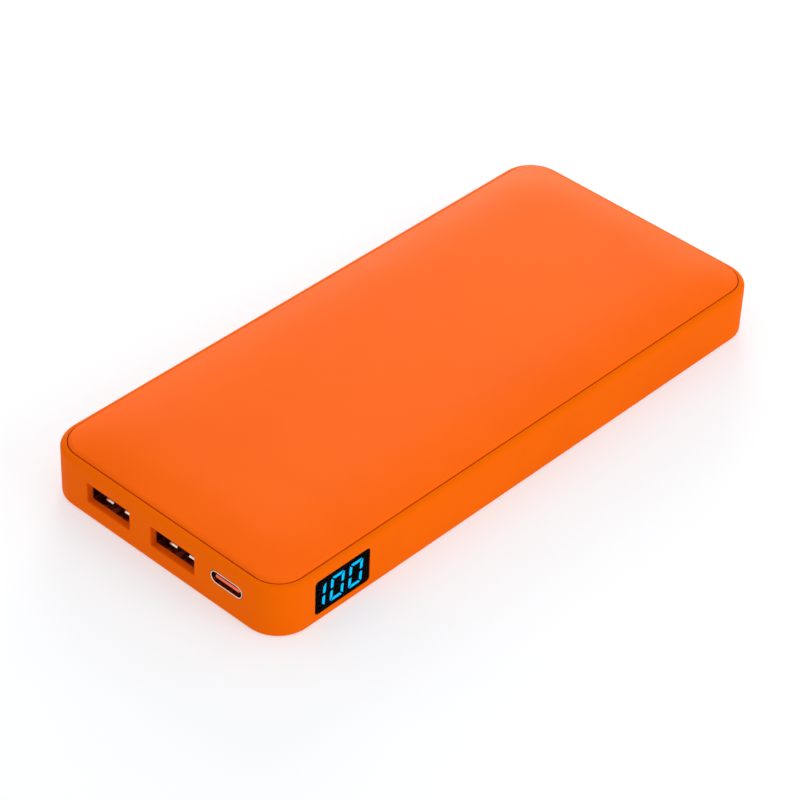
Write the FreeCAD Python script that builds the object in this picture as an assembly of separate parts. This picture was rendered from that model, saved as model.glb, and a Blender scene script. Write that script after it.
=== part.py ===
import FreeCAD, Part
import math
import os
from FreeCAD import Vector

# A pocket power bank: a deep lower case, a pillowed cover that clips on, two USB-A ports, one USB-C port,
# a three-digit charge display and a power button, with the board and two pouch cells inside.
# Millimetres. The origin is the centre of the base. X is the width, Y the length, Z is up.
# The ports look out along -Y, the display along +X and the button along -X.

# Case
case_width = 68.0
case_length = 150.0
case_height = 15.0
corner_radius = 8.0
rim_height = 12.8
base_edge_radius = 0.8
rim_edge_radius = 1.25
wall = 2.0
floor = 1.5
fit_gap = 0.1  # clearance between pieces that fit into each other
cut_over = 1.0  # how far a cutting shape runs past the face that it cuts
overlap = 0.1  # how far shapes that are fused run into each other
hair = 0.01  # keeps the ends of an oval from closing up, and finds edges that lie in a plane

# Seam between the case and its cover
ledge_height = 12.0  # shelf inside the rim that the cover rests on
rim_thickness = 1.4
seam_gap = 0.15
cover_inset = rim_thickness + seam_gap

# Cover
cover_thickness = 1.5
cover_lip_radius = 1.0
crown_foot_inset = 1.0  # the crown surface starts here, just outside the cover
crown_foot_height = 13.15
crown_reach = 18.5  # how far in from each side the crown keeps rising
crown_degree = 3  # of the surface, along X and along Y
skirt_bottom = 10.9
skirt_thickness = 1.0
skirt_inset = wall + fit_gap
skirt_top = ledge_height + 0.2

# Snap fingers that hang from the cover's skirt and click into pockets in the case
finger_width = 8.0
finger_bottom = 8.6
snap_height = 9.4
snap_reach = 0.5
snap_size = 0.9
snap_flat = 0.2  # height of the wedge at its tip
snap_side_gap = 1.0  # how much narrower the wedge is than its finger, on each side
side_finger_places = (-32.0, 14.0, 58.0)
end_finger_places = (-16.0, 16.0)

# Ribs on the case walls that keep the cells in the middle
rib_places = (-12.0, 30.0)
rib_thickness = 1.2
rib_height = 8.0
rib_cell_gap = 0.3
low_rib_height = 1.6

# Rounding of the outside edges of the openings
usb_a_edge_radius = 0.3
usb_c_edge_radius = 0.15
seat_edge_radius = 0.1
dish_edge_radius = 0.25

# USB-A ports
usb_a_places = (-14.84, 4.04)
usb_a_height = 6.55
usb_a_window = (12.6, 4.95)
usb_a_window_radius = 0.3
usb_a_outer = (13.1, 5.7)
usb_a_metal = 0.29
usb_a_radius = 0.5
usb_a_depth = 13.6
usb_a_reveal = 1.65  # from the case's front face to the socket, whose nose sits in a recess in the wall
usb_a_front = -case_length / 2 + usb_a_reveal
usb_a_tongue = (11.1, 8.6, 1.84)  # width, length, thickness
usb_a_tongue_radius = 0.25
usb_a_tongue_bottom = 6.3
usb_a_tongue_setback = 0.59
usb_a_block_gap = 0.3  # between the rear block and the board
usb_a_contact_places = (-3.5, -1.0, 1.0, 3.5)
usb_a_contact = (1.0, 0.22)  # width, thickness
usb_a_contact_ends = (1.2, 0.6)  # behind the tongue's front, ahead of the shell's back
usb_a_tail_notch = 1.6
usb_a_leg_places = (3.2, 10.0)
usb_a_leg_width = 1.6
spring_places = (-2.8, 2.8)
spring_width = 2.1
spring_rise = {1: 0.55, -1: 0.85}  # of the springs on the upper and the lower wall
spring_slot = 0.3
spring_slot_front = 0.6
spring_slot_end_gap = 0.2
spring_root = 6.2  # how far behind the shell's front edge the springs start
spring_bow = ((2.7, 0.18), (2.1, 0.0), (1.6, 0.2))  # depth behind that edge, fall from the crest
spring_tip = (1.3, 0.45)

# USB-C port
usb_c_place = 19.55
usb_c_height = 7.62
usb_c_outer = (8.94, 3.16)
usb_c_inner = (8.46, 2.68)
usb_c_depth = 7.35
usb_c_hole_gap = 0.12
usb_c_rim_radius = 0.11
usb_c_leg_places = (2.9, 5.9)
usb_c_leg_width = 1.2
usb_c_tongue = (6.69, 0.7)
usb_c_tongue_radius = 0.3
usb_c_tongue_setback = 0.45
usb_c_tongue_root = (7.29, 1.3, 1.2)  # width, thickness, length
usb_c_back = 1.4
usb_c_contact_pitch = 0.5
usb_c_contact = (0.25, 0.08)
usb_c_contact_start = 0.5  # behind the tongue's front
usb_c_contacts_in_row = 12
usb_c_plate = (5.99, 5.0, 0.12)  # width, length, thickness
usb_c_plate_start = 0.25

# Display in the +X wall
display_middle = -57.0
display_height = 6.37
lens_size = (15.4, 8.65)
lens_radius = 0.9
lens_gap = 0.08
lens_thickness = 0.4
lens_edge_radius = 0.08
lens_glue = 0.1
sight_hole = (13.9, 7.6)
display_body = (15.4, 8.4)
display_body_radius = 0.3
display_wall_gap = 0.05
display_rear = 28.2
display_pin = (0.5, 0.2)  # width, thickness
display_pin_reach = 2.2
display_pin_pitch = 2.0
display_pin_count = 5
display_front = case_width / 2 - lens_thickness - lens_glue

# Seven-segment digits, leaning like italics
digit_height = 6.16
digit_width = 3.78
digit_pitch = 5.2
digit_lean = math.tan(math.radians(4.2))
digit_offset = (-1.12, -0.58)  # the leading 1 is only a digit's right half, so the row sits off centre
segment_thickness = 0.75
segment_depth = 0.3
segment_round = 0.1
corner_gap = 0.23  # between a segment's end and the mitre line at the digit's corner
middle_gap = 0.3  # between an upright's end and the digit's middle
middle_slope = 0.2  # how far that end falls away on each side of its peak

# Board, hung upside down with its parts underneath
board_bottom = 9.42
board_thickness = 1.0
board_top = board_bottom + board_thickness
board_left = -30.3
board_right = 27.9
board_front = -72.6
board_back = -47.6
board_corner = 3.2
screw_places = ((-26.2, -67.6), (26.0, -69.2), (-24.4, -50.4), (22.6, -50.4))
boss_radius = 1.9
screw_radius = 0.8
screw_length = 5.0
screw_head = (1.5, 0.7)
screw_slot = (1.6, 0.3, 0.35)  # length, width, depth
screw_clearance = 0.02
leg_tip = board_top + 0.3
board_insulator_size = (56.0, 0.2)  # width, thickness
board_insulator_setback = 1.5

# Parts under the board: size, first X, pitch along X, then (Y, how many) for each row
small_parts = {
    "controller_chip": ((5.0, 5.0, 0.9), 2.0, 0, [(-53.4, 1)]),
    "display_driver_chip": ((4.0, 3.9, 1.2), 16.0, 0, [(-56.0, 1)]),
    "power_transistors": ((3.0, 3.2, 0.8), -6.5, 3.6, [(-52.2, 2), (-56.8, 2)]),
    "capacitors": ((1.25, 2.0, 1.1), 8.2, 2.2, [(-51.0, 5), (-54.6, 2)]),
    "resistors": ((0.6, 1.1, 0.4), 8.0, 1.6, [(-57.8, 3), (-48.6, 6)]),
}
inductor_place = (-14.0, -53.6)
inductor_radius = 3.4
inductor_height = 4.2
inductor_flange = 0.8
inductor_wire_gap = 0.3

# Power button in the -X wall, and the switch behind it
button_middle = -57.0
button_height = 7.2
button_cap = (9.0, 3.4)
button_gap = 0.12
button_dish = (12.6, 6.2)
button_dish_depth = 0.45
button_flange = (11.0, 4.9)
button_flange_thickness = 0.8
button_flange_gap = 0.05
button_edge_radius = 0.35
button_nub = (2.4, 1.6, 0.4)  # width, height, depth
button_travel = 0.3
switch_depth = 3.4
switch_size = (4.6, 3.5)
switch_plate = 0.15
switch_stem = (1.9, 1.0)
switch_stem_out = 0.9
switch_stem_length = 1.9
switch_stem_radius = 0.2
switch_stem_gap = 0.1
switch_touch_gap = 0.06
collar_rim = 0.4
collar_depth = 0.5
collar_place = 0.5  # behind the switch's front
chamber_gap = (0.1, 0.15)  # round the collar, ahead of the collar
chamber_spare = 0.25
button_inside = -case_width / 2 + wall + button_flange_gap
stem_tip = button_inside + button_flange_thickness + button_nub[2] + switch_touch_gap
switch_front = stem_tip + switch_stem_out

# Cells
cell_width = 60.0
cell_thickness = 4.9
cell_front = -38.0
cell_back = 70.0
cell_edge_radius = 2.0
cell_tape = 0.3
cell_tape_between = 0.1
cell_tape_size = (48.0, 96.0)
foam_size = (40.0, 84.0, 1.5)
lower_cell_bottom = floor + cell_tape
upper_cell_bottom = lower_cell_bottom + cell_thickness + cell_tape_between
upper_cell_top = upper_cell_bottom + cell_thickness

# Protection board in front of the cells
guard_board = (44.0, 7.6, 1.0)
guard_board_back = cell_front - 3.5
guard_board_middle = 6.8
guard_chip = (3.0, 0.9, 3.0)  # width, depth, height
guard_chip_places = (-5.0, 0.0, 5.0)
tab_places = (-16.0, 16.0)
tab_size = (5.0, 0.15)

# Battery leads
lead_radius = 0.65
lead_bend = 0.45  # share of the shorter run that a bend takes up
# Their bends: X, how far in front of the protection board, height
lead_bends = ((13.0, 0.0, 6.3), (13.0, 2.6, 6.0), (9.5, 5.2, 5.7), (6.5, 6.6, 6.5), (5.6, 6.9, board_bottom))

AXES = {
    "X": (Vector(0, 1, 0), Vector(0, 0, 1), Vector(1, 0, 0)),
    "Y": (Vector(1, 0, 0), Vector(0, 0, 1), Vector(0, 1, 0)),
    "Z": (Vector(1, 0, 0), Vector(0, 1, 0), Vector(0, 0, 1)),
}


# ---------------------------------------------------------------- shapes


def rounded_outline(size, radius, facing, centre):
    """Rounded rectangle about centre. Its plane is square to the X, Y or Z axis named by facing."""
    across, up, _ = AXES[facing]
    arcs = []
    for quadrant in range(4):
        side = 1 if quadrant in (0, 3) else -1
        level = 1 if quadrant in (0, 1) else -1
        points = []
        for turn in (0, 45, 90):
            angle = math.radians(90 * quadrant + turn)
            u = side * (size[0] / 2 - radius) + radius * math.cos(angle)
            v = level * (size[1] / 2 - radius) + radius * math.sin(angle)
            points.append(centre + across * u + up * v)
        arcs.append(points)
    edges = []
    for points, following in zip(arcs, arcs[1:] + arcs[:1]):
        edges.append(Part.Arc(*points).toShape())
        if points[2].distanceToPoint(following[0]) > 1e-6:
            edges.append(Part.LineSegment(points[2], following[0]).toShape())
    return Part.Wire(edges)


def bar(size, depth, radius, facing, centre):
    """Rounded rectangle pushed out by depth along the axis named by facing."""
    face = Part.Face(rounded_outline(size, radius, facing, centre))
    return face.extrude(AXES[facing][2] * depth)


def oval_bar(size, depth, facing, centre):
    """Like bar, with fully rounded ends."""
    return bar(size, depth, min(size) / 2 - hair, facing, centre)


def block(x, y, z):
    """Plain block between two values along each axis."""
    return Part.makeBox(x[1] - x[0], y[1] - y[0], z[1] - z[0], Vector(x[0], y[0], z[0]))


def prism(points, depth):
    """Closed polygon of 3-D points pushed out by the vector depth."""
    return Part.Face(Part.makePolygon(points + points[:1])).extrude(depth)


def case_prism(inset, bottom, top):
    """Everything inside the case's outline moved in by inset, between two heights."""
    size = (case_width - 2 * inset, case_length - 2 * inset)
    return bar(size, top - bottom, corner_radius - inset, "Z", Vector(0, 0, bottom))


def edges_inside(shape, low, high):
    """Edges of shape that lie wholly inside the box from low to high."""
    box = FreeCAD.BoundBox(*low, *high)
    return [edge for edge in shape.Edges if box.isInside(edge.BoundBox)]


def joined(shapes):
    """One solid made of shapes that touch or overlap."""
    return shapes[0].multiFuse(shapes[1:]).removeSplitter()


def group(shapes):
    """Separate solids that share one node."""
    return Part.makeCompound(shapes)


# ---------------------------------------------------------------- case and cover


def plain_shell():
    """Outside and inside of the lower case, with its rounded edges and the shelf for the cover."""
    reach = (case_width, case_length)
    shell = case_prism(0, 0, rim_height)
    for height, radius in ((0, base_edge_radius), (rim_height, rim_edge_radius)):
        low = (-reach[0], -reach[1], height - hair)
        edges = edges_inside(shell, low, (reach[0], reach[1], height + hair))
        shell = shell.makeFillet(radius, edges)
    shell = shell.cut(case_prism(wall, floor, ledge_height + overlap))
    return shell.cut(case_prism(rim_thickness, ledge_height, rim_height + cut_over))


def board_bosses():
    """Four posts that the board is screwed down on."""
    bosses = []
    for x, y in screw_places:
        foot = Vector(x, y, floor - overlap)
        post = Part.makeCylinder(boss_radius, board_bottom - foot.z, foot)
        pilot = Part.makeCylinder(screw_radius, screw_length, Vector(x, y, board_top - screw_length))
        bosses.append(post.cut(pilot))
    return bosses


def cell_ribs():
    """Upright ribs along both long walls, and a low one across the front of the cells."""
    ribs = []
    for side in (-1, 1):
        outer = side * (case_width / 2 - wall + overlap)
        inner = side * (cell_width / 2 + rib_cell_gap)
        across = (min(outer, inner), max(outer, inner))
        for y in rib_places:
            along = (y - rib_thickness / 2, y + rib_thickness / 2)
            ribs.append(block(across, along, (floor - overlap, rib_height)))
    front = guard_front() - rib_cell_gap
    across = (-guard_board[0] / 2, guard_board[0] / 2)
    heights = (floor - overlap, floor + low_rib_height)
    return ribs + [block(across, (front - rib_thickness, front), heights)]


def snap_wedge(grow):
    """Wedge that catches under the case wall, pointing along +X from x = 0. grow makes its pocket."""
    half = finger_width / 2 - snap_side_gap + grow
    reach = snap_reach + grow
    low = snap_height - snap_size - grow
    high = snap_height + grow
    points = [
        Vector(-overlap, -half, low),
        Vector(reach, -half, high - snap_flat),
        Vector(reach, -half, high),
        Vector(-overlap, -half, high),
    ]
    return prism(points, Vector(0, 2 * half, 0))


def around_case(make):
    """Copies of make(), a shape beside x = 0 that points along +X, at every snap finger's place."""
    shapes = []
    for y in side_finger_places:
        for turn, side in ((0, 1), (180, -1)):
            shapes.append(placed(make(), turn, side * (case_width / 2 - skirt_inset), y))
    for x in end_finger_places:
        shapes.append(placed(make(), 90, x, case_length / 2 - skirt_inset))
    return shapes


def placed(shape, turn, x, y):
    """shape turned about Z by turn degrees and then moved to x, y."""
    shape.rotate(Vector(0, 0, 0), Vector(0, 0, 1), turn)
    shape.translate(Vector(x, y, 0))
    return shape


def button_openings():
    """Finger dish around the button and the hole that its cap slides in."""
    outside = -case_width / 2
    dish_centre = Vector(outside - cut_over, button_middle, button_height)
    depth = cut_over + button_dish_depth
    dish = oval_bar(button_dish, depth, "X", dish_centre)
    bottom = outside + button_dish_depth
    low = (bottom - hair, -case_length, 0)
    dish = dish.makeFillet(button_dish_depth - hair, edges_inside(dish, low, (bottom + hair, 0, case_height)))
    hole_size = [side + 2 * button_gap for side in button_cap]
    hole = oval_bar(hole_size, wall + cut_over, "X", Vector(outside, button_middle, button_height))
    return [dish, hole]


def display_openings():
    """Shallow seat for the lens and the sight hole behind it."""
    seat_depth = lens_thickness + lens_glue
    seat_centre = Vector(case_width / 2 - seat_depth, display_middle, display_height)
    seat = bar(lens_size, seat_depth + cut_over, lens_radius, "X", seat_centre)
    hole_centre = Vector(case_width / 2 - wall - cut_over, display_middle, display_height)
    hole = bar(sight_hole, wall + cut_over, lens_radius / 2, "X", hole_centre)
    return [seat, hole]


def port_openings():
    """Windows in the front wall for the ports, and the recesses for the noses of the USB-A sockets."""
    start = -case_length / 2 - cut_over
    depth = wall + 2 * cut_over
    nose_size = [side + 2 * fit_gap for side in usb_a_outer]
    openings = []
    for x in usb_a_places:
        centre = Vector(x, start, usb_a_height)
        openings.append(bar(usb_a_window, depth, usb_a_window_radius, "Y", centre))
        nose = Vector(x, usb_a_front - hair, usb_a_height)
        openings.append(bar(nose_size, wall, usb_a_radius + fit_gap, "Y", nose))
    hole_size = [side + 2 * usb_c_hole_gap for side in usb_c_outer]
    centre = Vector(usb_c_place, start, usb_c_height)
    openings.append(oval_bar(hole_size, depth, "Y", centre))
    return openings


def lower_case():
    shell = joined([plain_shell()] + board_bosses() + cell_ribs())
    for opening in port_openings() + display_openings() + button_openings():
        shell = shell.cut(opening)
    for pocket in around_case(lambda: snap_wedge(fit_gap)):
        shell = shell.cut(pocket)
    return softened_openings(shell)


def softened_openings(shell):
    """Breaks the sharp outside edges of the ports, the display seat and the button dish."""
    front, side = case_length / 2, case_width / 2
    across = side - corner_radius - hair
    between_ports = (usb_a_places[-1] + usb_c_place) / 2
    along = front - corner_radius - hair
    bottom = base_edge_radius + hair
    top = rim_height - rim_edge_radius - hair
    places = (
        ((-across, -front - hair, bottom), (between_ports, -front + hair, top), usb_a_edge_radius),
        ((between_ports, -front - hair, bottom), (across, -front + hair, top), usb_c_edge_radius),
        ((side - hair, -along, bottom), (side + hair, along, top), seat_edge_radius),
        ((-side - hair, -along, bottom), (-side + hair, along, top), dish_edge_radius),
    )
    for low, high, radius in places:
        shell = shell.makeFillet(radius, edges_inside(shell, low, high))
    return shell


def under_crown(drop):
    """Everything under the pillowed crown surface, lowered by drop.

    The surface is one bicubic patch: its inner poles are at the crest and its outer ring of poles is
    at the foot, so it is flat in the middle and falls away smoothly towards each side.
    """
    half = (case_width / 2 - crown_foot_inset, case_length / 2 - crown_foot_inset)
    places = [
        [-h, -h + crown_reach / 3, -h / 3, h / 3, h - crown_reach / 3, h]
        for h in half
    ]
    last = len(places[0]) - 1
    poles = []
    for i, x in enumerate(places[0]):
        row = []
        for j, y in enumerate(places[1]):
            at_foot = i in (0, last) or j in (0, last)
            row.append(Vector(x, y, (crown_foot_height if at_foot else case_height) - drop))
        poles.append(row)
    knots = [[-h, -h + crown_reach, h - crown_reach, h] for h in half]
    repeats = [crown_degree + 1, 1, 1, crown_degree + 1]
    degrees = (crown_degree, crown_degree)
    surface = Part.BSplineSurface()
    surface.buildFromPolesMultsKnots(poles, repeats, repeats, *knots, False, False, *degrees)
    return surface.toShape().extrude(Vector(0, 0, -case_height))


def snap_finger():
    """One finger of the cover with its wedge, beside x = 0."""
    half = finger_width / 2
    stem = block((-skirt_thickness, 0), (-half, half), (finger_bottom, skirt_bottom + overlap))
    return joined([stem, snap_wedge(0)])


def top_cover():
    skin = case_prism(cover_inset, ledge_height, case_height + cut_over).common(under_crown(0))
    low = (-case_width, -case_length, rim_height)
    lip = edges_inside(skin, low, (case_width, case_length, case_height + cut_over))
    skin = skin.makeFillet(cover_lip_radius, lip)
    skirt = case_prism(skirt_inset, skirt_bottom, skirt_top)
    hollow = case_prism(skirt_inset + skirt_thickness, skirt_bottom - cut_over, case_height)
    cover = joined([skin, skirt]).cut(hollow.common(under_crown(cover_thickness)))
    return joined([cover] + around_case(snap_finger))


# ---------------------------------------------------------------- USB-A


def usb_a_springs(centre_x, side):
    """Two bowed contact springs on the upper (1) or lower (-1) wall of a USB-A shell."""
    inside = usb_a_height + side * (usb_a_outer[1] / 2 - usb_a_metal)
    crest = inside - side * spring_rise[side]

    def at(depth, height):
        return Vector(0, usb_a_front + depth, height)

    root = at(spring_root, inside)
    rise = [at(depth, crest + side * fall) for depth, fall in spring_bow]
    tip = at(spring_tip[0], crest + side * spring_tip[1])
    back = Vector(0, 0, side * usb_a_metal)
    edges = [
        Part.LineSegment(root, rise[0]).toShape(),
        Part.Arc(*rise).toShape(),
        Part.LineSegment(rise[2], tip).toShape(),
        Part.LineSegment(tip, tip + back).toShape(),
        Part.LineSegment(tip + back, rise[2] + back).toShape(),
        Part.Arc(*[point + back for point in reversed(rise)]).toShape(),
        Part.LineSegment(rise[0] + back, root + back).toShape(),
        Part.LineSegment(root + back, root).toShape(),
    ]
    strip = Part.Face(Part.Wire(edges)).extrude(Vector(spring_width, 0, 0))
    springs = []
    for x in spring_places:
        spring = strip.copy()
        spring.translate(Vector(centre_x + x - spring_width / 2, 0, 0))
        springs.append(spring)
    return springs


def usb_a_shell(centre_x):
    """Folded steel shell with four springs and two solder legs on each side."""
    centre = Vector(centre_x, usb_a_front, usb_a_height)
    inner = [side - 2 * usb_a_metal for side in usb_a_outer]
    shell = bar(usb_a_outer, usb_a_depth, usb_a_radius, "Y", centre)
    shell = shell.cut(bar(inner, usb_a_depth, usb_a_radius - usb_a_metal, "Y", centre))
    for x in spring_places:
        half = spring_width / 2 + spring_slot
        across = (centre_x + x - half, centre_x + x + half)
        along = (usb_a_front + spring_slot_front, usb_a_front + spring_root - spring_slot_end_gap)
        shell = shell.cut(block(across, along, (0, case_height)))
    notch = (usb_a_front + usb_a_depth - usb_a_tail_notch, usb_a_front + usb_a_depth)
    tails = usb_a_contact_places[-1] + usb_a_contact[0]
    shell = shell.cut(block((centre_x - tails, centre_x + tails), notch, (usb_a_height, case_height)))
    pieces = [shell] + usb_a_springs(centre_x, 1) + usb_a_springs(centre_x, -1)
    for side in (-1, 1):
        edge = centre_x + side * usb_a_outer[0] / 2
        across = (min(edge, edge - side * usb_a_metal), max(edge, edge - side * usb_a_metal))
        for depth in usb_a_leg_places:
            along = (usb_a_front + depth, usb_a_front + depth + usb_a_leg_width)
            pieces.append(block(across, along, (usb_a_height, leg_tip)))
    return joined(pieces)


def usb_a_contacts(centre_x):
    """Four flat contacts under the tongue, with tails that run up through the board."""
    width, thick = usb_a_contact
    front = usb_a_front + usb_a_tongue_setback + usb_a_contact_ends[0]
    back = usb_a_front + usb_a_depth - usb_a_contact_ends[1]
    contacts = []
    for x in usb_a_contact_places:
        across = (centre_x + x - width / 2, centre_x + x + width / 2)
        strip = block(across, (front, back), (usb_a_tongue_bottom - thick, usb_a_tongue_bottom))
        tail = block(across, (back - thick, back), (usb_a_tongue_bottom - thick, leg_tip))
        contacts.append(joined([strip, tail]))
    return group(contacts)


def usb_a_insulator(centre_x):
    """Plastic tongue and the block behind it that closes the shell."""
    width, length, thick = usb_a_tongue
    tongue_front = usb_a_front + usb_a_tongue_setback
    tongue_middle = Vector(centre_x, tongue_front, usb_a_tongue_bottom + thick / 2)
    tongue = bar((width, thick), length + overlap, usb_a_tongue_radius, "Y", tongue_middle)
    inner = [side - 2 * usb_a_metal for side in usb_a_outer]
    block_depth = usb_a_depth - length - usb_a_tongue_setback
    block_front = Vector(centre_x, tongue_front + length, usb_a_height)
    rear = bar(inner, block_depth, usb_a_radius - usb_a_metal, "Y", block_front)
    body = joined([tongue, rear]).cut(usb_a_contacts(centre_x))
    heights = (board_bottom - usb_a_block_gap, case_height)
    return body.cut(block((-case_width, case_width), (-case_length, 0), heights))


# ---------------------------------------------------------------- USB-C


def usb_c_shell():
    """Drawn oval shell, flush with the front of the case, with four legs into the board."""
    front = -case_length / 2
    centre = Vector(usb_c_place, front, usb_c_height)
    shell = oval_bar(usb_c_outer, usb_c_depth, "Y", centre)
    shell = shell.cut(oval_bar(usb_c_inner, usb_c_depth, "Y", centre))
    mouth = edges_inside(shell, (0, front - hair, 0), (case_width, front + hair, case_height))
    pieces = [shell.makeFillet(usb_c_rim_radius, mouth)]
    for side in (-1, 1):
        edge = usb_c_place + side * usb_c_outer[0] / 2
        metal = (usb_c_outer[0] - usb_c_inner[0]) / 2
        across = (min(edge, edge - side * metal), max(edge, edge - side * metal))
        for depth in usb_c_leg_places:
            along = (front + depth, front + depth + usb_c_leg_width)
            pieces.append(block(across, along, (usb_c_height, leg_tip)))
    return joined(pieces)


def usb_c_contacts():
    """Two rows of thin contacts, above and below the tongue."""
    width, thick = usb_c_contact
    front = -case_length / 2 + usb_c_tongue_setback + usb_c_contact_start
    back = -case_length / 2 + usb_c_depth - usb_c_back / 2
    first = usb_c_place - usb_c_contact_pitch * (usb_c_contacts_in_row - 1) / 2
    contacts = []
    for row in (-1, 1):
        outer = usb_c_height + row * usb_c_tongue[1] / 2
        inner = outer - row * thick
        for number in range(usb_c_contacts_in_row):
            x = first + usb_c_contact_pitch * number
            heights = (min(inner, outer), max(inner, outer))
            contacts.append(block((x - width / 2, x + width / 2), (front, back), heights))
    return group(contacts)


def usb_c_tongue_plate():
    """Steel plate in the middle of the tongue, which stiffens it."""
    width, length, thick = usb_c_plate
    front = -case_length / 2 + usb_c_tongue_setback + usb_c_plate_start
    across = (usb_c_place - width / 2, usb_c_place + width / 2)
    heights = (usb_c_height - thick / 2, usb_c_height + thick / 2)
    return block(across, (front, front + length), heights)


def usb_c_tongue_body():
    """Plastic tongue, its thicker root and the block that closes the back of the shell."""
    front = -case_length / 2
    back = front + usb_c_depth
    tongue_front = Vector(usb_c_place, front + usb_c_tongue_setback, usb_c_height)
    length = usb_c_depth - usb_c_tongue_setback - usb_c_back
    tongue = bar(usb_c_tongue, length + overlap, usb_c_tongue_radius, "Y", tongue_front)
    *root_size, root_length = usb_c_tongue_root
    root_front = Vector(usb_c_place, back - usb_c_back - root_length, usb_c_height)
    root = bar(root_size, root_length + overlap, usb_c_tongue_radius, "Y", root_front)
    rear_front = Vector(usb_c_place, back - usb_c_back, usb_c_height)
    rear = oval_bar(usb_c_inner, usb_c_back, "Y", rear_front)
    return joined([tongue, root, rear]).cut(usb_c_contacts()).cut(usb_c_tongue_plate())


# ---------------------------------------------------------------- display


def display_lens():
    size = [side - 2 * lens_gap for side in lens_size]
    centre = Vector(display_front + lens_glue, display_middle, display_height)
    lens = bar(size, lens_thickness, lens_radius - lens_gap, "X", centre)
    face = case_width / 2
    front = edges_inside(lens, (face - hair, -case_length, 0), (face + hair, 0, case_height))
    return lens.makeFillet(lens_edge_radius, front)


def lens_adhesive():
    """Thin frame of double-sided tape between the lens and its seat."""
    size = [side - 2 * lens_gap for side in lens_size]
    centre = Vector(display_front, display_middle, display_height)
    frame = bar(size, lens_glue, lens_radius - lens_gap, "X", centre)
    return frame.cut(bar(sight_hole, lens_glue, lens_radius / 2, "X", centre))


def segment_outlines():
    """Outlines of segments about the digit's middle: top, upper right and lower right."""
    right = digit_width / 2
    top = digit_height / 2
    thick = segment_thickness
    top_bar = [
        (-right + corner_gap, top),
        (right - corner_gap, top),
        (right - thick - corner_gap, top - thick),
        (-right + thick + corner_gap, top - thick),
    ]
    upper_right = [
        (right, top - corner_gap),
        (right, middle_gap + middle_slope),
        (right - thick / 2, middle_gap),
        (right - thick, middle_gap + middle_slope),
        (right - thick, top - thick - corner_gap),
    ]
    lower_right = [(u, -v) for u, v in reversed(upper_right)]
    return top_bar, upper_right, lower_right


def middle_outline():
    """Outline of the middle segment about the digit's middle."""
    end = digit_width / 2 - segment_thickness - corner_gap
    half = segment_thickness / 2
    left_end = [(-end + half, -half), (-end, 0), (-end + half, half)]
    return left_end + [(-u, -v) for u, v in left_end]


def segment(outline, digit, mirror):
    """One segment of a digit (0 to 2), turned half round if mirror is -1."""
    middle_y = display_middle + digit_offset[0] + (digit - 1) * digit_pitch
    middle_z = display_height + digit_offset[1]
    rear = display_front - segment_depth
    points = []
    for u, v in outline:
        y = middle_y + mirror * (u + digit_lean * v)
        points.append(Vector(rear, y, middle_z + mirror * v))
    solid = prism(points, Vector(segment_depth, 0, 0))
    upright = [edge for edge in solid.Edges if edge.BoundBox.XLength > segment_depth / 2]
    return solid.makeFillet(segment_round, upright)


def display_segments_lit():
    """Fourteen segments that read 100."""
    outlines = segment_outlines()
    segments = [segment(outline, 0, 1) for outline in outlines[1:]]
    for digit in (1, 2):
        for mirror in (1, -1):
            segments += [segment(outline, digit, mirror) for outline in outlines]
    return group(segments)


def display_segments_unlit():
    return group([segment(middle_outline(), digit, 1) for digit in (1, 2)])


def display_module():
    """Moulded light box of the digits: a body behind the wall and a face that fills the sight hole."""
    inside = case_width / 2 - wall - display_wall_gap
    body_centre = Vector(display_rear, display_middle, display_height)
    body = bar(display_body, inside - display_rear, display_body_radius, "X", body_centre)
    face_size = [side - 2 * fit_gap for side in sight_hole]
    face_centre = Vector(inside - overlap, display_middle, display_height)
    face = bar(face_size, display_front - face_centre.x, lens_radius / 2 - fit_gap, "X", face_centre)
    whole = joined([body, face])
    return whole.cut(display_segments_lit()).cut(display_segments_unlit())


def display_pins():
    """Five pins from the back of the display, lying on pads at the edge of the board."""
    width, thick = display_pin
    first = display_middle - display_pin_pitch * (display_pin_count - 1) / 2
    pins = []
    for number in range(display_pin_count):
        y = first + display_pin_pitch * number
        across = (board_right - display_pin_reach, display_rear)
        pins.append(block(across, (y - width / 2, y + width / 2), (board_top, board_top + thick)))
    return group(pins)


# ---------------------------------------------------------------- button and switch


def power_button():
    """Cap that shows in the dish, a flange behind the wall and a nub that presses the switch."""
    outside = -case_width / 2
    flange_back = button_inside + button_flange_thickness
    cap = oval_bar(button_cap, flange_back - outside, "X", Vector(outside, button_middle, button_height))
    rim = edges_inside(cap, (outside - hair, -case_length, 0), (outside + hair, 0, case_height))
    cap = cap.makeFillet(button_edge_radius, rim)
    flange_centre = Vector(button_inside, button_middle, button_height)
    flange = oval_bar(button_flange, button_flange_thickness, "X", flange_centre)
    *nub_size, nub_depth = button_nub
    nub_centre = Vector(flange_back - overlap, button_middle, button_height)
    nub = bar(nub_size, nub_depth + overlap, button_edge_radius, "X", nub_centre)
    return joined([cap, flange, nub])


def stem_section(grow, start, depth):
    """The switch stem's section, grown on every side, from start along X."""
    size = [side + 2 * grow for side in switch_stem]
    centre = Vector(start, button_middle, button_height)
    return bar(size, depth, switch_stem_radius, "X", centre)


def switch_stem_shape():
    """Stem of the switch, with a collar inside the switch body."""
    stem = stem_section(0, stem_tip, switch_stem_length)
    collar = stem_section(collar_rim, switch_front + collar_place, collar_depth)
    return joined([stem, collar])


def switch_block(start, end):
    """Block as wide and as high as the switch, hung under the board, between two places along X."""
    size_y, size_z = switch_size
    along = (button_middle - size_y / 2, button_middle + size_y / 2)
    return block((start, end), along, (board_bottom - size_z, board_bottom))


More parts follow.
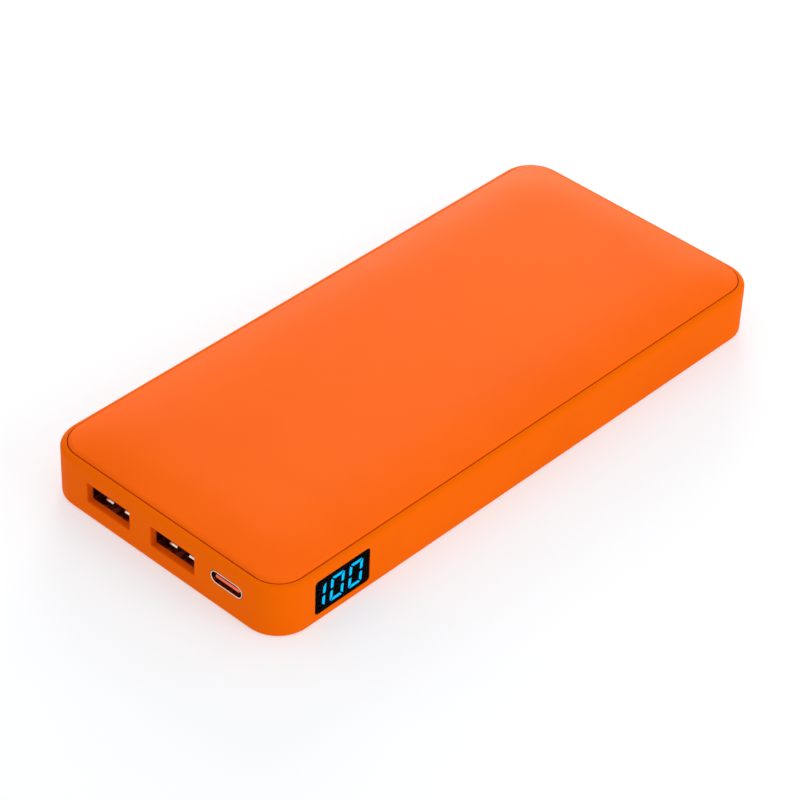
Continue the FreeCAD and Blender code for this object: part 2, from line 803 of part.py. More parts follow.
def switch_body():
    """Plastic body of the side-push switch, with a chamber in which the stem's collar slides."""
    body = switch_block(switch_front + switch_plate, switch_front + switch_depth)
    opening = stem_section(switch_stem_gap, switch_front, switch_depth / 2)
    gap_round, gap_ahead = chamber_gap
    chamber_start = switch_front + collar_place - gap_ahead
    chamber_depth = gap_ahead + collar_depth + button_travel + chamber_spare
    chamber = stem_section(collar_rim + gap_round, chamber_start, chamber_depth)
    return body.cut(opening).cut(chamber)


def switch_cover():
    """Folded steel face of the switch, which keeps the stem in."""
    plate = switch_block(switch_front, switch_front + switch_plate)
    return plate.cut(stem_section(switch_stem_gap, switch_front, switch_plate))


# ---------------------------------------------------------------- board


def main_board():
    """Board with clipped front corners and holes for the screws, shell legs and contact tails."""
    outline = [
        Vector(board_left + board_corner, board_front, board_bottom),
        Vector(board_right, board_front, board_bottom),
        Vector(board_right, board_back, board_bottom),
        Vector(board_left, board_back, board_bottom),
        Vector(board_left, board_front + board_corner, board_bottom),
    ]
    board = prism(outline, Vector(0, 0, board_thickness))
    for x, y in screw_places:
        hole = Part.makeCylinder(screw_radius + fit_gap, board_thickness, Vector(x, y, board_bottom))
        board = board.cut(hole)
    parts = [usb_c_shell()]
    for x in usb_a_places:
        parts += [usb_a_shell(x), usb_a_contacts(x)]
    for part in parts:
        for solid in part.common(board).Solids:
            box = solid.BoundBox
            hole = block(
                (box.XMin - fit_gap, box.XMax + fit_gap),
                (box.YMin - fit_gap, box.YMax + fit_gap),
                (board_bottom - cut_over, board_top + cut_over),
            )
            board = board.cut(hole)
    return board


def board_screws():
    """Four small machine screws with cross slots, seated on the board."""
    head_radius, head_height = screw_head
    screws = []
    for x, y in screw_places:
        shank_end = Vector(x, y, board_top - screw_length)
        shank = Part.makeCylinder(screw_radius - screw_clearance, screw_length, shank_end)
        head = Part.makeCylinder(head_radius, head_height, Vector(x, y, board_top))
        screw = joined([shank, head])
        top = board_top + head_height
        length, width, depth = screw_slot
        for size in ((length, width), (width, length)):
            across = (x - size[0] / 2, x + size[0] / 2)
            along = (y - size[1] / 2, y + size[1] / 2)
            screw = screw.cut(block(across, along, (top - depth, top)))
        screws.append(screw)
    return group(screws)


def soldered_parts(size, first_x, pitch, rows):
    """Equal small blocks under the board, in rows along X."""
    parts = []
    for y, count in rows:
        along = (y - size[1] / 2, y + size[1] / 2)
        for number in range(count):
            x = first_x + pitch * number
            across = (x - size[0] / 2, x + size[0] / 2)
            parts.append(block(across, along, (board_bottom - size[2], board_bottom)))
    return group(parts)


def inductor_core():
    """Ferrite drum with a flange at each end."""
    x, y = inductor_place
    low = board_bottom - inductor_height
    bottom = Part.makeCylinder(inductor_radius, inductor_flange, Vector(x, y, low))
    top = Part.makeCylinder(inductor_radius, inductor_flange, Vector(x, y, board_bottom - inductor_flange))
    middle = Part.makeCylinder(inductor_radius / 2, inductor_height, Vector(x, y, low))
    return joined([bottom, top, middle])


def inductor_winding():
    """Copper coil between the flanges of the drum."""
    x, y = inductor_place
    low = board_bottom - inductor_height + inductor_flange
    height = inductor_height - 2 * inductor_flange
    coil = Part.makeCylinder(inductor_radius - inductor_wire_gap, height, Vector(x, y, low))
    return coil.cut(Part.makeCylinder(inductor_radius / 2, height, Vector(x, y, low)))


def board_insulator():
    """Card sheet that keeps the solder side of the board off the cells and the cover."""
    bottom = board_top + screw_head[1]
    width, thick = board_insulator_size
    along = (board_front + board_insulator_setback, board_back)
    return block((-width / 2, width / 2), along, (bottom, bottom + thick))


# ---------------------------------------------------------------- battery


def cell(bottom):
    """Pouch cell with soft edges along its length."""
    centre = Vector(0, cell_front, bottom + cell_thickness / 2)
    return bar((cell_width, cell_thickness), cell_back - cell_front, cell_edge_radius, "Y", centre)


def cell_sheet(size, bottom, thickness):
    """Flat sheet centred under, between or over the cells."""
    width, length = size
    middle = (cell_front + cell_back) / 2
    across = (-width / 2, width / 2)
    return block(across, (middle - length / 2, middle + length / 2), (bottom, bottom + thickness))


def cell_tabs():
    """Four nickel tabs, two from the front of each cell to the protection board."""
    width, thick = tab_size
    tabs = []
    for bottom in (lower_cell_bottom, upper_cell_bottom):
        middle = bottom + cell_thickness / 2
        for x in tab_places:
            heights = (middle - thick / 2, middle + thick / 2)
            tabs.append(block((x - width / 2, x + width / 2), (guard_board_back, cell_front), heights))
    return group(tabs)


def guard_front():
    """Y of the protection board's front face."""
    return guard_board_back - guard_board[2]


def protection_board():
    """Small upright board that the cell tabs are welded to."""
    width, height, _ = guard_board
    heights = (guard_board_middle - height / 2, guard_board_middle + height / 2)
    return block((-width / 2, width / 2), (guard_front(), guard_board_back), heights)


def protection_chips():
    """Protection controller and its two switches, on the front of the protection board."""
    width, depth, height = guard_chip
    heights = (guard_board_middle - height / 2, guard_board_middle + height / 2)
    along = (guard_front() - depth, guard_front())
    return group([block((x - width / 2, x + width / 2), along, heights) for x in guard_chip_places])


def lead_path(points):
    """Straight runs joined by tangent arcs."""
    edges = []
    start = points[0]
    for before, corner, after in zip(points, points[1:], points[2:]):
        into = corner - before
        out = after - corner
        trim = lead_bend * min(into.Length, out.Length)
        half_turn = into.getAngle(out) / 2
        entry = corner - into * (trim / into.Length)
        leave = corner + out * (trim / out.Length)
        radius = trim / math.tan(half_turn)
        inward = (out / out.Length - into / into.Length).normalize()
        sagitta = radius / math.cos(half_turn) - radius
        edges.append(Part.LineSegment(start, entry).toShape())
        edges.append(Part.Arc(entry, corner + inward * sagitta, leave).toShape())
        start = leave
    edges.append(Part.LineSegment(start, points[-1]).toShape())
    return Part.Wire(edges)


def battery_lead(side):
    """Insulated lead from the protection board to the underside of the main board."""
    points = [Vector(side * x, guard_front() - ahead, height) for x, ahead, height in lead_bends]
    path = lead_path(points)
    start = Part.Wire(Part.makeCircle(lead_radius, points[0], points[1] - points[0]))
    lead = path.makePipeShell([start], True, False)
    room = block((-case_width, case_width), (-case_length, guard_front()), (0, board_bottom))
    return lead.common(room)


# ---------------------------------------------------------------- the whole part


def make_nodes():
    nodes = {
        "lower_case": lower_case(),
        "top_cover": top_cover(),
        "display_lens": display_lens(),
        "lens_adhesive": lens_adhesive(),
        "display_module": display_module(),
        "display_segments_lit": display_segments_lit(),
        "display_segments_unlit": display_segments_unlit(),
        "display_pins": display_pins(),
        "power_button": power_button(),
        "switch_body": switch_body(),
        "switch_cover": switch_cover(),
        "switch_stem": switch_stem_shape(),
        "main_board": main_board(),
        "board_screws": board_screws(),
        "board_insulator": board_insulator(),
        "inductor_core": inductor_core(),
        "inductor_winding": inductor_winding(),
        "usb_c_shell": usb_c_shell(),
        "usb_c_tongue": usb_c_tongue_body(),
        "usb_c_tongue_plate": usb_c_tongue_plate(),
        "usb_c_contacts": usb_c_contacts(),
        "battery_lead_red": battery_lead(-1),
        "battery_lead_black": battery_lead(1),
        "protection_board": protection_board(),
        "protection_chips": protection_chips(),
        "cell_tabs": cell_tabs(),
        "cell_lower": cell(lower_cell_bottom),
        "cell_upper": cell(upper_cell_bottom),
        "cell_tape_base": cell_sheet(cell_tape_size, floor, cell_tape),
        "cell_tape_middle": cell_sheet(
            cell_tape_size, upper_cell_bottom - cell_tape_between, cell_tape_between
        ),
        "foam_spacer": cell_sheet(foam_size[:2], upper_cell_top, foam_size[2]),
    }
    for name, layout in small_parts.items():
        nodes[name] = soldered_parts(*layout)
    for number, x in enumerate(usb_a_places, start=1):
        nodes[f"usb_a_{number}_shell"] = usb_a_shell(x)
        nodes[f"usb_a_{number}_insulator"] = usb_a_insulator(x)
        nodes[f"usb_a_{number}_contacts"] = usb_a_contacts(x)
    return nodes


def export_nodes():
    os.makedirs("parts", exist_ok=True)
    for name, shape in make_nodes().items():
        if not shape.isValid():
            raise ValueError(f"{name} is not a valid shape")
        shape.exportStep(f"parts/{name}.step")
        print(name, len(shape.Solids), "solids", round(shape.Volume, 1), "mm3")


export_nodes()
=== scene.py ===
import math

import bpy
from mathutils import Matrix, Vector


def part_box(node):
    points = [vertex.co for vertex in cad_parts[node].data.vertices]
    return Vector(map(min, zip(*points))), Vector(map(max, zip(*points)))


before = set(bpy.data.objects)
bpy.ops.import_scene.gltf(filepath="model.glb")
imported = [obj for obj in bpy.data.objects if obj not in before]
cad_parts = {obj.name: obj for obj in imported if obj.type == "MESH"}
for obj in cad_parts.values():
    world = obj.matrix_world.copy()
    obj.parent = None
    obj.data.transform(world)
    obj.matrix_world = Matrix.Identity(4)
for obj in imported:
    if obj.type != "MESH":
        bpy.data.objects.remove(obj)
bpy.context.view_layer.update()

# ---------------------------------------------------------------- camera and stage values

MM = 0.001

CAMERA_AZIMUTH = 41.92
CAMERA_ELEVATION = 38.64
CAMERA_ROLL = 2.44
CAMERA_DISTANCE = 642.72 * MM
CAMERA_LENS = 134.21
CAMERA_ASIDE = (-3.03 * MM, 0.69 * MM)  # right and up from the line of sight
CAMERA_NEAR = 10 * MM  # nothing nearer is drawn

SKY = (0.93, 0.96, 1.0)
SKY_STRENGTH = 0.94
FLOOR_SIZE = 3.0
FLOOR_DROP = 0.05 * MM
FLOOR_GLOW = 0.46  # the light from under the floor, which keeps its shadows pale
WHITE = (1.0, 1.0, 1.0)

# Name: azimuth, elevation, distance (m), size (m), power (W), colour
SOFT_LIGHTS = {
    "back_left_softbox": (222.0, 12.0, 1.0, 0.5, 6.6, (1.0, 0.99, 0.97)),
    "right_softbox": (100.0, 25.0, 1.0, 0.6, 2.4, (1.0, 0.99, 0.97)),
}

# ---------------------------------------------------------------- material values
# Texture sizes and bump depths are in millimetres, texture scales are per millimetre, and a pair of roughness
# values is the least and the most.

NOISE_RANGE = (0.32, 0.68)  # noise seldom leaves it
NOISE_ROUGHNESS = 0.55
FULL_RANGE = (0.0, 1.0)
PATCH_SHARE = 0.5  # of the change in roughness. The grain makes the rest
WEAR_RANGE = (0.2, 0.8)
DISPLAY_SHINE = 0.1

SHELL_IOR = 1.46
SHELL_ROUGHNESS = (0.52, 0.56)
HANDLED_SIZE = 14.0
DRIFT_SIZE = 30.0
DRIFT_SHARE = 0.7  # of the colour's change. The speckle makes the rest
SPECKLE_SIZE = 0.22
SPECKLE_DEPTH = 0.005
RIPPLE_SIZE = 6.0
RIPPLE_DEPTH = 0.006
# Painted shade: the colour of the cover's side below the case's rim, in the seam, fading in over SEAM_FADE
SEAM_SHADE_ORANGE = (0.16, 0.018, 0.0005)
SEAM_FADE = 0.08

LENS_TINT = (0.10, 0.12, 0.17)
LENS_IOR = 1.05  # stands for a non-reflecting coat, which keeps the window black
LENS_ROUGHNESS = (0.03, 0.05)
LENS_HAZE_SIZE = 4.0

CYAN_BRIGHT = (0.0, 0.78, 1.0)
CYAN_DEEP = (0.0, 0.64, 1.0)
SEGMENT_BODY = (0.0, 0.02, 0.05)
SEGMENT_ROUGHNESS = (0.4, 0.5)
GLOW = 7.0
GLOW_PATCH_SIZE = 0.55

NICKEL = (0.98, 0.82, 0.68)
NICKEL_DARK = (0.80, 0.63, 0.51)
# Painted shade: the dark reddish colour of the socket walls along Y, deep inside the socket
NICKEL_IN_SHADE = (0.46, 0.29, 0.26)
NICKEL_ROUGHNESS = (0.10, 0.22)
PLATING_PATCH_SIZE = 1.6
DRAW_LINE_STRETCH = (9.0, 0.35, 9.0)  # lines along Y, close together across it
DRAW_LINE_SIZE = 1.0
DRAW_LINE_DEPTH = 0.002
SHADE_TILTS = (0.06, 0.2)  # the part of a face's normal along Y where the painted shade of the socket walls begins to fade, and where it's gone and the plating is bright

MASK = (0.006, 0.085, 0.032)
MASK_DEEP = (0.004, 0.060, 0.022)
MASK_ROUGHNESS = (0.28, 0.4)
MASK_HAZE_SIZE = 5.0
TRACK = (0.012, 0.17, 0.06)
TRACK_SCALE = 0.42
TRACK_EDGE = (0.42, 0.46)
TRACK_HEIGHT = 0.03

COPPER = (0.72, 0.27, 0.11)
# painted shade in the grooves between the turns
COPPER_SHADE_BETWEEN_TURNS = (0.22, 0.07, 0.025)
COPPER_ROUGHNESS = (0.25, 0.4)
COPPER_METAL = 0.8
COPPER_PATCH_SIZE = 0.8
TURN_SCALE = 0.62
TURN_DEPTH = 0.12

FOIL = (0.66, 0.67, 0.69)
FOIL_DARK = (0.50, 0.51, 0.53)
FOIL_ROUGHNESS = (0.32, 0.48)
FOIL_METAL = 0.9
FOIL_CLOUD_SIZE = 12.0
FOIL_SHEEN_SIZE = 3.0
FOLD_SCALE = 0.11
FOLD_EDGE = (0.0, 0.3)
FOLD_DEPTH = 0.08
CRINKLE_SIZE = 2.5
CRINKLE_DEPTH = 0.05

FOAM = (0.05, 0.05, 0.052)
# painted shade in the open cells
FOAM_PORE_SHADE = (0.012, 0.012, 0.013)
FOAM_ROUGHNESS = (0.8, 0.95)
FOAM_SCALE = 2.2
FOAM_DEPTH = 0.15

# Painted shade: the case's orange is the cover's with less red and no blue, so its walls look darker than the
# top
SHADED_CASE_ORANGE = {"light": (0.85, 0.128, 0.0), "dark": (0.80, 0.114, 0.0)}
COVER_ORANGE = {"light": (0.93, 0.128, 0.0015), "dark": (0.88, 0.114, 0.001)}

# Moulded shells, by material
SHELLS = {
    "soft_touch_case": dict(SHADED_CASE_ORANGE, specular=0.015),
    "soft_touch_cover": dict(COVER_ORANGE, specular=0.045, paint_seam_shade=True),
    "soft_touch_button": dict(SHADED_CASE_ORANGE, specular=0.045),
}

# Surfaces of two close colours, by material
SURFACES = {
    "studio_sheet": {
        "light": (0.5, 0.5, 0.5), "dark": (0.485, 0.485, 0.485), "rough": (0.85, 0.95),
        "patch": 60.0, "grain": 1.5, "grain_depth": 0.01,
    },
    "display_face": {
        "light": (0.0040, 0.0040, 0.0062), "dark": (0.0026, 0.0026, 0.0044), "rough": (0.6, 0.7),
        "patch": 2.0, "grain": 0.3, "grain_depth": 0.0005, "shine": DISPLAY_SHINE,
    },
    "segment_dark": {
        "light": (0.006, 0.007, 0.010), "dark": (0.004, 0.005, 0.007), "rough": (0.5, 0.6),
        "patch": 0.6, "grain": 0.1, "shine": DISPLAY_SHINE,
    },
    "coral_port_plastic": {
        "light": (1.0, 0.17, 0.055), "dark": (0.95, 0.11, 0.035), "rough": (0.35, 0.5),
        "patch": 1.5, "grain": 0.15,
    },
    "pink_port_plastic": {
        "light": (1.0, 0.36, 0.38), "dark": (0.95, 0.28, 0.30), "rough": (0.35, 0.5),
        "patch": 1.5, "grain": 0.15,
    },
    "black_moulding": {
        "light": (0.022, 0.022, 0.026), "dark": (0.014, 0.014, 0.018), "rough": (0.5, 0.65),
        "patch": 2.0, "grain": 0.12,
    },
    "chip_resin": {
        "light": (0.028, 0.028, 0.03), "dark": (0.016, 0.016, 0.017), "rough": (0.55, 0.7),
        "patch": 1.0, "grain": 0.08,
    },
    "capacitor_ceramic": {
        "light": (0.42, 0.29, 0.16), "dark": (0.34, 0.22, 0.11), "rough": (0.4, 0.55),
        "patch": 0.8, "grain": 0.1,
    },
    "ferrite": {
        "light": (0.075, 0.075, 0.08), "dark": (0.045, 0.045, 0.05), "rough": (0.6, 0.75),
        "patch": 0.9, "grain": 0.12, "grain_depth": 0.01,
    },
    "gold_contact": {
        "light": (0.83, 0.58, 0.24), "dark": (0.62, 0.40, 0.14), "rough": (0.18, 0.32),
        "patch": 0.8, "grain": 0.12, "grain_depth": 0.001, "metal": 1.0,
    },
    "tinned_metal": {
        "light": (0.70, 0.70, 0.69), "dark": (0.52, 0.52, 0.51), "rough": (0.3, 0.45),
        "patch": 1.0, "grain": 0.2, "grain_depth": 0.004, "metal": 1.0,
    },
    "screw_steel": {
        "light": (0.34, 0.34, 0.35), "dark": (0.22, 0.22, 0.23), "rough": (0.3, 0.45),
        "patch": 0.8, "grain": 0.1, "grain_depth": 0.003, "metal": 1.0,
    },
    "adhesive_tape": {
        "light": (0.80, 0.79, 0.74), "dark": (0.70, 0.69, 0.63), "rough": (0.5, 0.7),
        "patch": 3.0, "grain": 0.3,
    },
    "insulating_card": {
        "light": (0.74, 0.71, 0.60), "dark": (0.64, 0.61, 0.50), "rough": (0.7, 0.85),
        "patch": 6.0, "grain": 0.3, "grain_depth": 0.01,
    },
    "red_insulation": {
        "light": (0.55, 0.015, 0.015), "dark": (0.45, 0.010, 0.010), "rough": (0.3, 0.42),
        "patch": 2.0, "grain": 0.2,
    },
    "black_insulation": {
        "light": (0.02, 0.02, 0.022), "dark": (0.012, 0.012, 0.014), "rough": (0.3, 0.42),
        "patch": 2.0, "grain": 0.2,
    },
}

# CAD nodes, by material
NODES_BY_MATERIAL = {
    "soft_touch_case": ["lower_case"],
    "soft_touch_cover": ["top_cover"],
    "soft_touch_button": ["power_button"],
    "smoked_lens": ["display_lens"],
    "display_face": ["display_module"],
    "segment_glow": ["display_segments_lit"],
    "segment_dark": ["display_segments_unlit"],
    "nickel_plating_shaded_inside": ["usb_a_1_shell", "usb_a_2_shell", "usb_c_shell"],
    "nickel_plated_steel": ["switch_cover", "usb_c_tongue_plate"],
    "pink_port_plastic": ["usb_a_1_insulator", "usb_a_2_insulator"],
    "coral_port_plastic": ["usb_c_tongue"],
    "gold_contact": ["usb_a_1_contacts", "usb_a_2_contacts", "usb_c_contacts"],
    "black_moulding": ["lens_adhesive", "switch_body", "switch_stem"],
    "tinned_metal": ["display_pins", "cell_tabs"],
    "solder_mask_green": ["main_board", "protection_board"],
    "screw_steel": ["board_screws"],
    "insulating_card": ["board_insulator"],
    "chip_resin": [
        "controller_chip", "display_driver_chip", "power_transistors", "protection_chips", "resistors",
    ],
    "capacitor_ceramic": ["capacitors"],
    "ferrite": ["inductor_core"],
    "copper_winding": ["inductor_winding"],
    "red_insulation": ["battery_lead_red"],
    "black_insulation": ["battery_lead_black"],
    "pouch_foil": ["cell_lower", "cell_upper"],
    "adhesive_tape": ["cell_tape_base", "cell_tape_middle"],
    "spacer_foam": ["foam_spacer"],
}


# ---------------------------------------------------------------- node helpers


def put(tree, socket, value):
    """Links value to the socket if it's another socket, or sets it as a plain value."""
    if isinstance(value, bpy.types.NodeSocket):
        tree.links.new(value, socket)
    elif socket.type == "RGBA":
        socket.default_value = (*value, 1.0)
    else:
        socket.default_value = value


def put_all(tree, node, inputs):
    """Sets or links the node's inputs, which are given by name or number."""
    for name, value in inputs.items():
        put(tree, node.inputs[name], value)


def add(tree, kind, inputs, **settings):
    """New node with its inputs and its settings."""
    node = tree.nodes.new(kind)
    for name, value in settings.items():
        setattr(node, name, value)
    put_all(tree, node, inputs)
    return node


def set_shader(tree, inputs):
    """Sets or links inputs of the tree's Principled shader."""
    shader = next(node for node in tree.nodes if node.type == "BSDF_PRINCIPLED")
    put_all(tree, shader, inputs)


def maths(tree, operation, *values):
    return add(tree, "ShaderNodeMath", dict(enumerate(values)), operation=operation).outputs[0]


def stretched(tree, place, factors):
    """place with each axis scaled."""
    return add(tree, "ShaderNodeVectorMath", {0: place, 1: factors}, operation="MULTIPLY").outputs[0]


def coordinate(tree, vector, axis):
    """The X, Y or Z of a vector."""
    return add(tree, "ShaderNodeSeparateXYZ", {0: vector}).outputs[axis]


def noise(tree, place, size, detail=3.0):
    """Noise whose features are about size millimetres across."""
    inputs = {"Vector": place, "Scale": 1 / size, "Detail": detail, "Roughness": NOISE_ROUGHNESS}
    return add(tree, "ShaderNodeTexNoise", inputs).outputs[0]


def voronoi(tree, place, scale, **settings):
    """Distances in a pattern of cells."""
    inputs = {"Vector": place, "Scale": scale}
    return add(tree, "ShaderNodeTexVoronoi", inputs, **settings).outputs["Distance"]


def spread(tree, value, target=FULL_RANGE, source=NOISE_RANGE):
    """value, with its source range stretched to the target range."""
    inputs = {"Value": value}
    inputs["From Min"], inputs["From Max"] = source
    inputs["To Min"], inputs["To Max"] = target
    return add(tree, "ShaderNodeMapRange", inputs).outputs[0]


def weighted(tree, first, second, share):
    """Sum of first by its share and second by the rest."""
    first_part = maths(tree, "MULTIPLY", first, share)
    second_part = maths(tree, "MULTIPLY", second, 1 - share)
    return maths(tree, "ADD", first_part, second_part)


def between(tree, factor, first, second):
    """Colour that runs from first to second as factor goes from 0 to 1."""
    mix = add(tree, "ShaderNodeMix", {"Factor": factor}, data_type="RGBA")
    colour_inputs = [socket for socket in mix.inputs if socket.type == "RGBA"]
    for socket, colour in zip(colour_inputs, (first, second)):
        put(tree, socket, colour)
    return next(socket for socket in mix.outputs if socket.type == "RGBA")


def bumped(tree, height, depth, under=None):
    """Normal from a height field whose whole range is depth millimetres, over the normal under it."""
    inputs = {"Height": height, "Distance": depth * MM}
    if under is not None:
        inputs["Normal"] = under
    return add(tree, "ShaderNodeBump", inputs).outputs[0]


def start_material(name):
    """New material. Returns it with its tree and the place on the surface in millimetres."""
    material = bpy.data.materials.new(name)
    material.use_nodes = True
    tree = material.node_tree
    place = add(tree, "ShaderNodeTexCoord", {}).outputs["Object"]
    return material, tree, stretched(tree, place, (1 / MM,) * 3)


# ---------------------------------------------------------------- materials


def mottled(name, light, dark, rough, patch, grain, grain_depth=0.003, metal=0.0, shine=0.5):
    """Everyday surface: two close colours in patches, uneven roughness and a fine grain."""
    material, tree, place = start_material(name)
    patches = spread(tree, noise(tree, place, patch))
    fine = noise(tree, place, grain)
    wear = weighted(tree, patches, fine, PATCH_SHARE)
    set_shader(tree, {
        "Base Color": between(tree, patches, dark, light),
        "Roughness": spread(tree, wear, rough, WEAR_RANGE),
        "Normal": bumped(tree, fine, grain_depth),
        "Metallic": metal,
        "Specular IOR Level": shine,
    })
    return material


def soft_touch_plastic(name, light, dark, specular, paint_seam_shade=False):
    """Moulded shell with a soft matt coat: a fine even grain, slow colour drift and handled patches.

    Given the seam flag, it's darker below the case's rim: painted shade on its side, where it sits in the
    seam.
    """
    material, tree, place = start_material(name)
    drift = spread(tree, noise(tree, place, DRIFT_SIZE, detail=2.0))
    speckle = noise(tree, place, SPECKLE_SIZE, detail=2.0)
    colour = between(tree, weighted(tree, drift, speckle, DRIFT_SHARE), dark, light)
    # painted shade in the seam, below the rim
    if paint_seam_shade:
        rim_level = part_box("lower_case")[1][2] / MM
        above = spread(tree, coordinate(tree, place, "Z"), source=(rim_level - SEAM_FADE, rim_level))
        colour = between(tree, above, SEAM_SHADE_ORANGE, colour)
    ripple = bumped(tree, noise(tree, place, RIPPLE_SIZE, detail=2.0), RIPPLE_DEPTH)
    set_shader(tree, {
        "Base Color": colour,
        "Roughness": spread(tree, noise(tree, place, HANDLED_SIZE, detail=4.0), SHELL_ROUGHNESS),
        "Normal": bumped(tree, speckle, SPECKLE_DEPTH, ripple),
        "IOR": SHELL_IOR,
        "Specular IOR Level": specular,
    })
    return material


def smoked_lens(name):
    """Dark clear plastic: it hides the housing behind it and lets the lit digits through."""
    material, tree, place = start_material(name)
    set_shader(tree, {
        "Base Color": LENS_TINT,
        "Roughness": spread(tree, noise(tree, place, LENS_HAZE_SIZE, detail=2.0), LENS_ROUGHNESS),
        "IOR": LENS_IOR,
        "Specular IOR Level": DISPLAY_SHINE,
        "Transmission Weight": 1.0,
    })
    return material


def glowing_segments(name):
    """Lit segments: cyan, a little deeper in patches where the light guide is uneven."""
    material, tree, place = start_material(name)
    uneven = spread(tree, noise(tree, place, GLOW_PATCH_SIZE, detail=2.0))
    set_shader(tree, {
        "Base Color": SEGMENT_BODY,
        "Roughness": spread(tree, uneven, SEGMENT_ROUGHNESS, FULL_RANGE),
        "Specular IOR Level": DISPLAY_SHINE,
        "Emission Color": between(tree, uneven, CYAN_DEEP, CYAN_BRIGHT),
        "Emission Strength": GLOW,
    })
    return material


def plated_steel(name, shaded_inside=False):
    """Nickel-plated sheet: faint draw lines along the socket and a slightly uneven plating.

    In a socket that's shaded inside, the walls along Y get a dark painted shade, and only the edge of the
    mouth and the bent springs keep the bright plating.
    """
    material, tree, place = start_material(name)
    lines = noise(tree, stretched(tree, place, DRAW_LINE_STRETCH), DRAW_LINE_SIZE, detail=5.0)
    clouds = spread(tree, noise(tree, place, PLATING_PATCH_SIZE))
    colour = between(tree, clouds, NICKEL_DARK, NICKEL)
    if shaded_inside:
        # painted shade on the socket walls along Y; faces turned along Y keep the plating
        normal = add(tree, "ShaderNodeTexCoord", {}).outputs["Normal"]
        tilt = maths(tree, "ABSOLUTE", coordinate(tree, normal, "Y"))
        colour = between(tree, spread(tree, tilt, source=SHADE_TILTS), NICKEL_IN_SHADE, colour)
    set_shader(tree, {
        "Base Color": colour,
        "Roughness": spread(tree, lines, NICKEL_ROUGHNESS),
        "Normal": bumped(tree, lines, DRAW_LINE_DEPTH),
        "Metallic": 1.0,
    })
    return material


def solder_mask(name):
    """Green circuit board: darker mask between wide copper tracks, which stand out a little."""
    material, tree, place = start_material(name)
    tracks = spread(tree, voronoi(tree, place, TRACK_SCALE, distance="CHEBYCHEV"), source=TRACK_EDGE)
    haze = spread(tree, noise(tree, place, MASK_HAZE_SIZE))
    set_shader(tree, {
        "Base Color": between(tree, tracks, between(tree, haze, MASK_DEEP, MASK), TRACK),
        "Roughness": spread(tree, haze, MASK_ROUGHNESS, FULL_RANGE),
        "Normal": bumped(tree, tracks, TRACK_HEIGHT),
    })
    return material


def wound_wire(name):
    """Enamelled copper wire, wound in turns along Z, with painted shade between the turns."""
    material, tree, place = start_material(name)
    inputs = {"Vector": place, "Scale": TURN_SCALE}
    turns = add(tree, "ShaderNodeTexWave", inputs, bands_direction="Z").outputs["Fac"]
    set_shader(tree, {
        "Base Color": between(tree, turns, COPPER_SHADE_BETWEEN_TURNS, COPPER),
        "Roughness": spread(tree, noise(tree, place, COPPER_PATCH_SIZE), COPPER_ROUGHNESS),
        "Normal": bumped(tree, turns, TURN_DEPTH),
        "Metallic": COPPER_METAL,
    })
    return material


def pouch_foil(name):
    """Crinkled aluminium-laminate pouch with a dull sheen."""
    material, tree, place = start_material(name)
    folds = spread(tree, voronoi(tree, place, FOLD_SCALE, feature="DISTANCE_TO_EDGE"), source=FOLD_EDGE)
    clouds = spread(tree, noise(tree, place, FOIL_CLOUD_SIZE))
    crinkles = bumped(tree, noise(tree, place, CRINKLE_SIZE, detail=4.0), CRINKLE_DEPTH)
    set_shader(tree, {
        "Base Color": between(tree, clouds, FOIL_DARK, FOIL),
        "Roughness": spread(tree, noise(tree, place, FOIL_SHEEN_SIZE), FOIL_ROUGHNESS),
        "Normal": bumped(tree, folds, FOLD_DEPTH, crinkles),
        "Metallic": FOIL_METAL,
    })
    return material


def cellular_foam(name):
    """Black spacer foam with open cells, darkened inside by painted shade."""
    material, tree, place = start_material(name)
    cells = voronoi(tree, place, FOAM_SCALE)
    set_shader(tree, {
        "Base Color": between(tree, cells, FOAM_PORE_SHADE, FOAM),
        "Roughness": spread(tree, cells, FOAM_ROUGHNESS, FULL_RANGE),
        "Normal": bumped(tree, cells, FOAM_DEPTH),
    })
    return material


def make_materials():
    """Every material, by name."""
    materials = {
        "smoked_lens": smoked_lens("smoked_lens"),
        "segment_glow": glowing_segments("segment_glow"),
        "nickel_plated_steel": plated_steel("nickel_plated_steel"),
        "nickel_plating_shaded_inside": plated_steel("nickel_plating_shaded_inside", shaded_inside=True),
        "solder_mask_green": solder_mask("solder_mask_green"),
        "copper_winding": wound_wire("copper_winding"),
        "pouch_foil": pouch_foil("pouch_foil"),
        "spacer_foam": cellular_foam("spacer_foam"),
    }
    for name, values in SHELLS.items():
        materials[name] = soft_touch_plastic(name, **values)
    for name, values in SURFACES.items():
        materials[name] = mottled(name, **values)
    return materials


def dress_nodes(materials):
    """Gives every CAD node its material."""
    for material_name, nodes in NODES_BY_MATERIAL.items():
        for node_name in nodes:
            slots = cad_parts[node_name].data.materials
            slots.clear()
            slots.append(materials[material_name])


# ---------------------------------------------------------------- stage


def direction(azimuth, elevation):
    """Unit vector towards a place seen at azimuth (0 is -Y, 90 is +X) and elevation, in degrees."""
    a = math.radians(azimuth)
    e = math.radians(elevation)
    return Vector((math.sin(a) * math.cos(e), -math.cos(a) * math.cos(e), math.sin(e)))


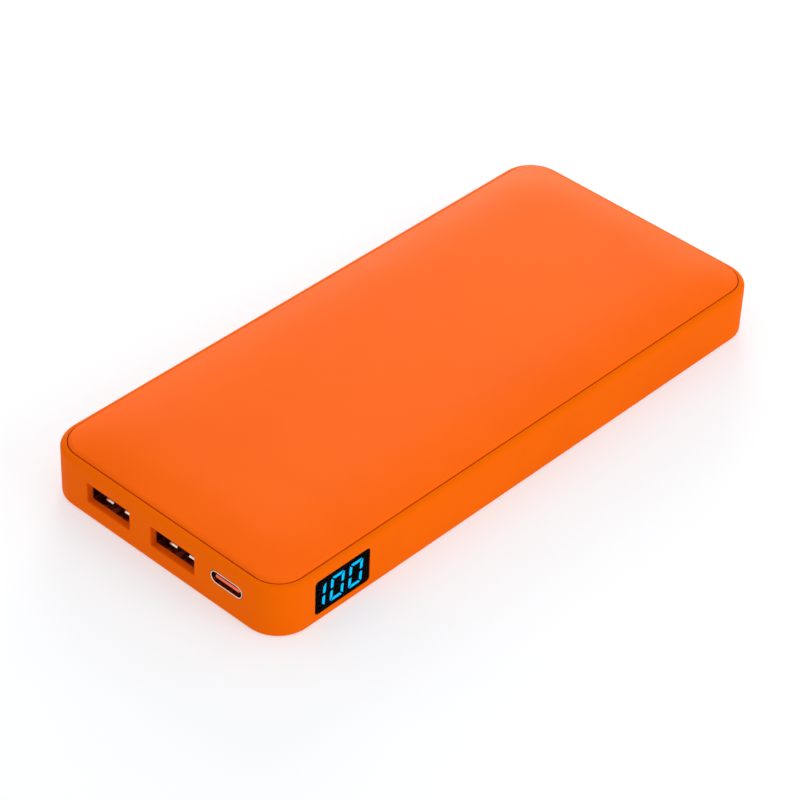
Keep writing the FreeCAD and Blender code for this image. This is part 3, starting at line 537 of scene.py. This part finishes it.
def turned_towards(back, roll=0.0):
    """Matrix for a camera or light whose own +Z points along back, rolled by roll degrees."""
    level = Vector((0, 0, 1)).cross(back).normalized()
    upward = back.cross(level)
    r = math.radians(roll)
    right = level * math.cos(r) + upward * math.sin(r)
    up = upward * math.cos(r) - level * math.sin(r)
    return Matrix((right, up, back)).transposed().to_4x4()


def add_camera():
    """Camera that looks at the middle of the base, moved a little aside."""
    lens = bpy.data.cameras.new("camera")
    lens.lens = CAMERA_LENS
    lens.clip_start = CAMERA_NEAR
    camera = bpy.data.objects.new("camera", lens)
    bpy.context.scene.collection.objects.link(camera)
    facing = turned_towards(direction(CAMERA_AZIMUTH, CAMERA_ELEVATION), CAMERA_ROLL)
    offset = Vector((*CAMERA_ASIDE, CAMERA_DISTANCE))
    camera.matrix_world = Matrix.Translation(facing @ offset) @ facing
    bpy.context.scene.camera = camera


def add_sky():
    world = bpy.data.worlds.new("studio")
    world.use_nodes = True
    background = world.node_tree.nodes["Background"]
    put_all(world.node_tree, background, {"Color": SKY, "Strength": SKY_STRENGTH})
    bpy.context.scene.world = world


def add_soft_light(name, azimuth, elevation, distance, size, power, colour):
    """Round softbox that faces the middle of the base."""
    lamp = bpy.data.lights.new(name, "AREA")
    lamp.shape = "DISK"
    lamp.size = size
    lamp.energy = power
    lamp.color = colour
    light = bpy.data.objects.new(name, lamp)
    bpy.context.scene.collection.objects.link(light)
    back = direction(azimuth, elevation)
    light.matrix_world = Matrix.Translation(back * distance) @ turned_towards(back)


def add_floor(sheet):
    """Pale translucent sheet, lit from below as well as from above."""
    half = FLOOR_SIZE / 2
    corners = [(-half, -half), (half, -half), (half, half), (-half, half)]
    mesh = bpy.data.meshes.new("studio_floor")
    mesh.from_pydata([(x, y, -FLOOR_DROP) for x, y in corners], [], [(0, 1, 2, 3)])
    mesh.materials.append(sheet)
    set_shader(sheet.node_tree, {"Emission Color": WHITE, "Emission Strength": FLOOR_GLOW})
    floor = bpy.data.objects.new("studio_floor", mesh)
    bpy.context.scene.collection.objects.link(floor)


def set_up_stage(sheet):
    add_camera()
    add_sky()
    for name, values in SOFT_LIGHTS.items():
        add_soft_light(name, *values)
    add_floor(sheet)
    bpy.context.scene.view_settings.view_transform = "Standard"


materials = make_materials()
set_up_stage(materials["studio_sheet"])
dress_nodes(materials)
